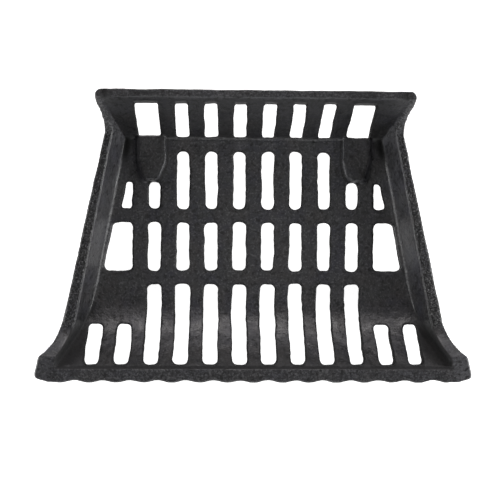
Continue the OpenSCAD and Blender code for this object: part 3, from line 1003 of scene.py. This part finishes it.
@dataclass
class Basket:
    """The slotted basket, cast in one piece with its walls, rims, ears and leg seats."""

    finish: CastIronFinish
    tones: BasketTones = field(default_factory=BasketTones)
    wear: MouldWear = field(default_factory=MouldWear)
    voxel: float = 1.0 * MM
    smooth_rounds: int = 2
    most_faces: int = 195000
    stations: int = 36
    end_fade: float = 0.8
    foot_fillet_r: float = 6.5 * MM
    front_fillet_r: float = 1.2 * MM
    foot_front_gap: float = 8 * MM
    foot_back_reach: float = 2 * MM
    foot_thins: Ramp = Ramp(-45 * MM, -72 * MM)
    foot_fades_from: float = -105 * MM
    corner_fillet_r: float = 1.6 * MM
    corner_top_gap: float = 2 * MM
    corner_fades: Ramp = Ramp(0.8, 1.0)
    flare: float = 3.6 * MM
    flare_len: float = 19 * MM
    flare_power: float = 2.2
    flare_past_ear: float = 2 * MM
    flare_height: Ramp = Ramp(10 * MM, 30 * MM)
    loose_ramp: Ramp = Ramp(0.0, 7 * MM)
    firm_front: float = 4 * MM
    pad_rounds: int = 9
    pad_outer_flank: Span = (5 * MM, 20 * MM)
    pad_half_width: float = 16 * MM
    pad_front: Span = (53 * MM, 63 * MM)
    pad_back_gap: float = 1 * MM
    pad_heights: Triple = (-1.5 * MM, 0.3 * MM, 7 * MM)
    pad_least_up: float = 0.3
    edge_rounds: int = 5
    edge_depth: float = 4 * MM
    edge_reach: float = 3 * MM
    edge_end_gap: float = 6 * MM

    def side_foot(self, side: Side) -> CastFillet:
        """Shapes the fillet between a side wall and the floor, which runs up the front wall.

        Args:
            side: Side of the grate.

        Returns:
            The fillet.
        """
        plan = PLAN
        front, back = -plan.horn_y + self.foot_front_gap, plan.back_foot_y + self.foot_back_reach
        fades = Ramp(self.foot_fades_from, front)
        path, radii = [], []
        for i in range(self.stations + 1):
            y = back + (front - back) * i / self.stations
            height = plan.floor_height(min(y, plan.back_foot_y))
            x = side.value * plan.inner_x(y, height)
            path.append(Vector((x, y, plan.floor_z + height)))
            grown = self.foot_thins(y) * (self.front_fillet_r - self.foot_fillet_r)
            radii.append((self.foot_fillet_r + grown) * (1.0 - self.end_fade * fades(y)))
        wall = Vector((side.value * math.sin(plan.side_lean), 0.0, math.cos(plan.side_lean)))
        across = Vector((-side.value, 0, 0))
        return CastFillet(tuple(path), across, wall, tuple(radii))

    def back_corner(self, side: Side) -> CastFillet:
        """Shapes the fillet in the corner of the back wall and a side wall.

        Args:
            side: Side of the grate.

        Returns:
            The fillet.
        """
        plan = PLAN
        path, radii = [], []
        for i in range(self.stations + 1):
            share = i / self.stations
            height = (plan.back_rim_h - self.corner_top_gap) * share
            y = plan.back_foot_y + height * math.tan(plan.back_lean)
            x = side.value * plan.inner_x(y, height)
            path.append(Vector((x, y, plan.floor_z + height)))
            radii.append(self.corner_fillet_r * (1.0 - self.end_fade * self.corner_fades(share)))
        along_wall = Vector((side.value * plan.inner_taper, -1, 0))
        across = Vector((-side.value, 0, 0))
        return CastFillet(tuple(path), across, along_wall, tuple(radii))

    def flared(self, bm: Skin) -> None:
        """Sweeps the outer side of the rim out to the ear, so that no step is left there.

        Args:
            bm: The basket's skin.
        """
        plan = PLAN
        for vert in bm.verts:
            place = vert.co
            ramp = (plan.ear_y + self.flare_len - place.y) / self.flare_len
            if ramp <= 0 or place.y < plan.ear_y - self.flare_past_ear:
                continue
            height = place.z - plan.floor_z
            inner, outer = plan.inner_x(place.y, height), plan.outer_x(place.y, height)
            outside = Ramp(inner, outer)(abs(place.x))
            shift = self.flare * min(1.0, ramp) ** self.flare_power * outside
            room = max(0.0, outer + self.flare - abs(place.x))
            place.x += math.copysign(min(shift * self.flare_height(height), room), place.x)

    def kept_under_rim(self, bm: Skin) -> None:
        """Cuts off what a fillet leaves above the rim.

        Args:
            bm: The basket's skin.
        """
        for vert in bm.verts:
            place = vert.co
            if place.y < PLAN.ear_y or place.y > PLAN.horn_y - PLAN.back_swoop:
                top = PLAN.floor_z + PLAN.rim_height(place.y)
                place.z = min(place.z, top)

    def looseness(self, place: Vector) -> float:
        """Finds how much a point may stray sideways: fully by the slots, hardly at the rims.

        Args:
            place: Point on the skin.

        Returns:
            The share, from 0 to 1.
        """
        beside = PLAN.inner_x(place.y) - abs(place.x)
        behind = PLAN.horn_y - place.y
        before = place.y + PLAN.horn_y
        return self.loose_ramp(min(beside, behind, before - self.firm_front))

    def by_the_pads(self, bm: Skin) -> Points:
        """Finds the points of the raised pads' outer and front flanks, which are rounder.

        Args:
            bm: The basket's skin.

        Returns:
            The points.
        """
        nearest, farthest = self.pad_outer_flank
        start, front_end = self.pad_front
        foot, raised, top = self.pad_heights
        found = []
        for vert in bm.verts:
            place = vert.co
            above = place.z - PLAN.floor_z
            out = abs(place.x) - PLAN.pad_x
            in_front = abs(out) < self.pad_half_width and place.y < front_end
            near = nearest < out < farthest or in_front
            near = near and start < place.y < PLAN.back_foot_y - self.pad_back_gap
            up = above > raised or (vert.normal.z > self.pad_least_up and above > foot)
            if near and up and above < top:
                found.append(vert)
        return found

    def by_the_rim_edge(self, bm: Skin) -> Points:
        """Finds the points along the side rims' inner edges, which are rounder than the rest.

        Args:
            bm: The basket's skin.

        Returns:
            The points.
        """
        found = []
        for vert in bm.verts:
            place = vert.co
            height = place.z - PLAN.floor_z
            if height > PLAN.rim_height(place.y) - self.edge_depth:
                beside = PLAN.inner_x(place.y, height) - abs(place.x)
                between_ends = abs(place.y) < PLAN.horn_y - self.edge_end_gap
                if abs(beside) < self.edge_reach and between_ends:
                    found.append(vert)
        return found

    def build(self, nodes: dict[str, Piece]) -> Piece:
        """Builds the basket.

        Args:
            nodes: The CAD nodes, by name.

        Returns:
            The finished piece.
        """
        casting = Casting(nodes["basket"], self.voxel, self.wear)
        bm = casting.pattern()
        for side in Side:
            self.side_foot(side).add_to(bm)
            self.back_corner(side).add_to(bm)
        bm = casting.skinned(bm)
        self.kept_under_rim(bm)
        casting.rounded(bm, self.smooth_rounds)
        casting.rounded(bm, self.pad_rounds, self.by_the_pads(bm))
        casting.rounded(bm, self.edge_rounds, self.by_the_rim_edge(bm))
        self.flared(bm)
        casting.worn(bm, self.looseness)
        bm = casting.thinned(bm, self.most_faces)
        made = casting.piece(bm, "basket_casting", "basket_iron")
        self.tones.mark(made.data)
        made.data.materials.append(self.finish.material())
        return made


@dataclass
class Legs:
    """The four tapered legs, cast apart and hollow at the back."""

    finish: CastIronFinish
    voxel: float = 1.1 * MM
    smooth_rounds: int = 3
    drift: float = 0.2 * MM
    looseness: float = 0.5
    first_seed: float = 5.0
    seed_step: int = 3

    def build(self, nodes: dict[str, Piece]) -> list[Piece]:
        """Builds the legs.

        Args:
            nodes: The CAD nodes, by name.

        Returns:
            The four pieces.
        """
        material = self.finish.material()
        made = []
        for count, end in enumerate(End):
            for side in Side:
                name = f"leg_{end.value}_{side.name.lower()}"
                seed = self.first_seed + self.seed_step * count + side.value
                wear = MouldWear(drift=self.drift, seed=seed)
                casting = Casting(nodes[name], self.voxel, wear)
                bm = casting.skinned(casting.pattern())
                casting.rounded(bm, self.smooth_rounds)
                casting.worn(bm, lambda place: self.looseness)
                piece = casting.piece(bm, f"{name}_casting", "leg_iron")
                for band in Band:
                    piece.data.attributes.new(band.value, "FLOAT", "POINT")
                piece.data.materials.append(material)
                made.append(piece)
        return made


@dataclass
class Fasteners:
    """The bolts and spring washers that hold the legs."""

    bolt_finish: SteelFinish
    washer_finish: SteelFinish

    def dress(self, nodes: dict[str, Piece]) -> int:
        """Gives the CAD bolts and washers their steel.

        Args:
            nodes: The CAD nodes, by name.

        Returns:
            How many were dressed.
        """
        finishes = {
            "bolt": self.bolt_finish.material(),
            "spring_washer": self.washer_finish.material(),
        }
        dressed = 0
        for name, node in nodes.items():
            for kind, material in finishes.items():
                if name.startswith(kind):
                    for slot in node.material_slots:
                        slot.material = material
                    dressed += 1
        return dressed


# ---- studio ----


@dataclass
class Ground:
    """Plain white ground that keeps a faint shadow of the grate."""

    half_size: float = 3.0
    drop: float = 0.4 * MM
    seen_glow: float = 0.80
    mirrored_glow: float = 0.50
    whitens_from: float = 0.45
    white_beyond: float = 1.1
    paint: Triple = (0.8, 0.8, 0.8)

    def build(self) -> Piece:
        """Builds the ground.

        Returns:
            The ground.
        """
        bm = bmesh.new()
        bmesh.ops.create_grid(bm, x_segments=2, y_segments=2, size=self.half_size)
        bmesh.ops.translate(bm, verts=bm.verts[:], vec=Vector((0, 0, -self.drop)))
        mesh = bpy.data.meshes.new("ground")
        bm.to_mesh(mesh)
        bm.free()
        made = bpy.data.objects.new("ground", mesh)
        bpy.context.scene.collection.objects.link(made)
        mesh.materials.append(self.material())
        return made

    def material(self) -> bpy.types.Material:
        """Builds a white that shines by itself where it is seen, and a little where mirrored.

        Returns:
            The material.
        """
        desk = NodeDesk("white_ground")
        desk.shader.inputs["Base Color"].default_value = (*self.paint, 1.0)
        desk.shader.inputs["Roughness"].default_value = 1.0
        desk.shader.inputs["Specular IOR Level"].default_value = 0.0
        path = desk.node("ShaderNodeLightPath").outputs
        seen = desk.math("MAXIMUM", path["Is Camera Ray"], path["Is Transmission Ray"])
        mirrored = desk.math("MULTIPLY", path["Is Glossy Ray"], self.mirrored_glow)
        away = desk.node("ShaderNodeVectorMath", operation="LENGTH")
        desk.link(desk.object_coordinates(), away.inputs[0])
        span = (self.whitens_from, self.white_beyond)
        glow = desk.ranged(away.outputs["Value"], span, (self.seen_glow, 1.0))
        strength = desk.math("ADD", desk.math("MULTIPLY", seen, glow), mirrored)
        desk.link(strength, desk.shader.inputs["Emission Strength"])
        desk.shader.inputs["Emission Color"].default_value = WHITE
        return desk.material


@dataclass(frozen=True)
class Softbox:
    """A large soft lamp that faces the grate."""

    name: str
    azimuth: float
    elevation: float
    size: Span
    power: float
    tint: Triple = (1.0, 1.0, 1.0)
    distance: float = 1.3

    def build(self) -> Piece:
        """Builds the lamp.

        Returns:
            The lamp, aimed at the middle of the grate.
        """
        lamp = bpy.data.lights.new(self.name, "AREA")
        lamp.shape = "RECTANGLE"
        lamp.size, lamp.size_y = self.size
        lamp.energy = self.power
        lamp.color = self.tint
        made = bpy.data.objects.new(self.name, lamp)
        bpy.context.scene.collection.objects.link(made)
        a, e = math.radians(self.azimuth), math.radians(self.elevation)
        away = Vector((math.sin(a) * math.cos(e), math.cos(a) * math.cos(e), math.sin(e)))
        made.location = Vector((0, 0, PLAN.floor_z)) + away * self.distance
        made.rotation_mode = "QUATERNION"
        made.rotation_quaternion = (-away).to_track_quat("-Z", "Y")
        made.visible_camera = False
        return made


@dataclass
class Studio:
    """The lamps, the surroundings and the camera. Azimuth 0 is behind the grate, 90 its right."""

    lamps: tuple[Softbox, ...] = (
        Softbox("left_softbox", -96, 15, size=(0.9, 0.40), power=10.3),
        Softbox("right_softbox", 96, 17, size=(0.9, 0.50), power=15.0),
        Softbox("rear_softbox", 0, 28, size=(0.9, 0.56), power=9.0, tint=(1.0, 0.955, 0.96)),
        Softbox("front_softbox", 180, 24, size=(0.9, 0.80), power=5.6),
        Softbox("top_softbox", 0, 89, size=(0.9, 0.50), power=1.8),
    )
    camera_place: Triple = (-32.12 * MM, -12.26 * MM, 1015.74 * MM)
    camera_turn: Triple = (-0.002, -1.739, 0.304)
    focal_px: float = 910.47
    frame_px: float = 500.0
    sensor: float = 36.0
    sight: Span = (0.01, 50.0)

    def build(self) -> None:
        """Builds the lamps, the world and the camera."""
        for lamp in self.lamps:
            lamp.build()
        self.world()
        self.camera()
        bpy.context.scene.view_settings.view_transform = "Standard"

    def world(self) -> None:
        """Makes surroundings that look white and throw no light on the grate."""
        world = bpy.data.worlds.new("surroundings")
        bpy.context.scene.world = world
        world.use_nodes = True
        tree = world.node_tree
        back = tree.nodes["Background"]
        back.inputs["Color"].default_value = WHITE
        path = tree.nodes.new("ShaderNodeLightPath")
        seen = tree.nodes.new("ShaderNodeMath")
        seen.operation = "MAXIMUM"
        tree.links.new(path.outputs["Is Camera Ray"], seen.inputs[0])
        tree.links.new(path.outputs["Is Transmission Ray"], seen.inputs[1])
        tree.links.new(seen.outputs["Value"], back.inputs["Strength"])

    def camera(self) -> None:
        """Places the camera at the photograph's viewing angle."""
        lens = bpy.data.cameras.new("camera")
        lens.sensor_width = self.sensor
        lens.lens = self.focal_px / self.frame_px * lens.sensor_width
        lens.clip_start, lens.clip_end = self.sight
        made = bpy.data.objects.new("camera", lens)
        bpy.context.scene.collection.objects.link(made)
        made.location = self.camera_place
        made.rotation_euler = [math.radians(turn) for turn in self.camera_turn]
        bpy.context.scene.camera = made


def main() -> None:
    """Builds the grate's pieces around the frame, then the studio."""
    logging.basicConfig(level=logging.INFO, format="%(name)s: %(message)s")
    noise.seed_set(MOULD_SEED)
    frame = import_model()
    nodes = frame["nodes"]
    basket = Basket(CastIronFinish("basket_black_iron")).build(nodes)
    LOG.info("%s: %d faces", basket.name, len(basket.data.polygons))
    for leg in Legs(CastIronFinish("leg_black_iron")).build(nodes):
        LOG.info("%s: %d faces", leg.name, len(leg.data.polygons))
    zinc = SteelFinish(
        "dull_zinc", base=(0.30, 0.30, 0.31), tarnish=(0.12, 0.11, 0.10), roughness=0.38
    )
    spring_steel = SteelFinish(
        "black_spring_steel", base=(0.09, 0.09, 0.095), tarnish=(0.05, 0.045, 0.04), roughness=0.45
    )
    fasteners = Fasteners(zinc, spring_steel)
    LOG.info("fasteners: %d pieces dressed", fasteners.dress(nodes))
    Ground().build()
    Studio().build()


if __name__ == "__main__":
    main()
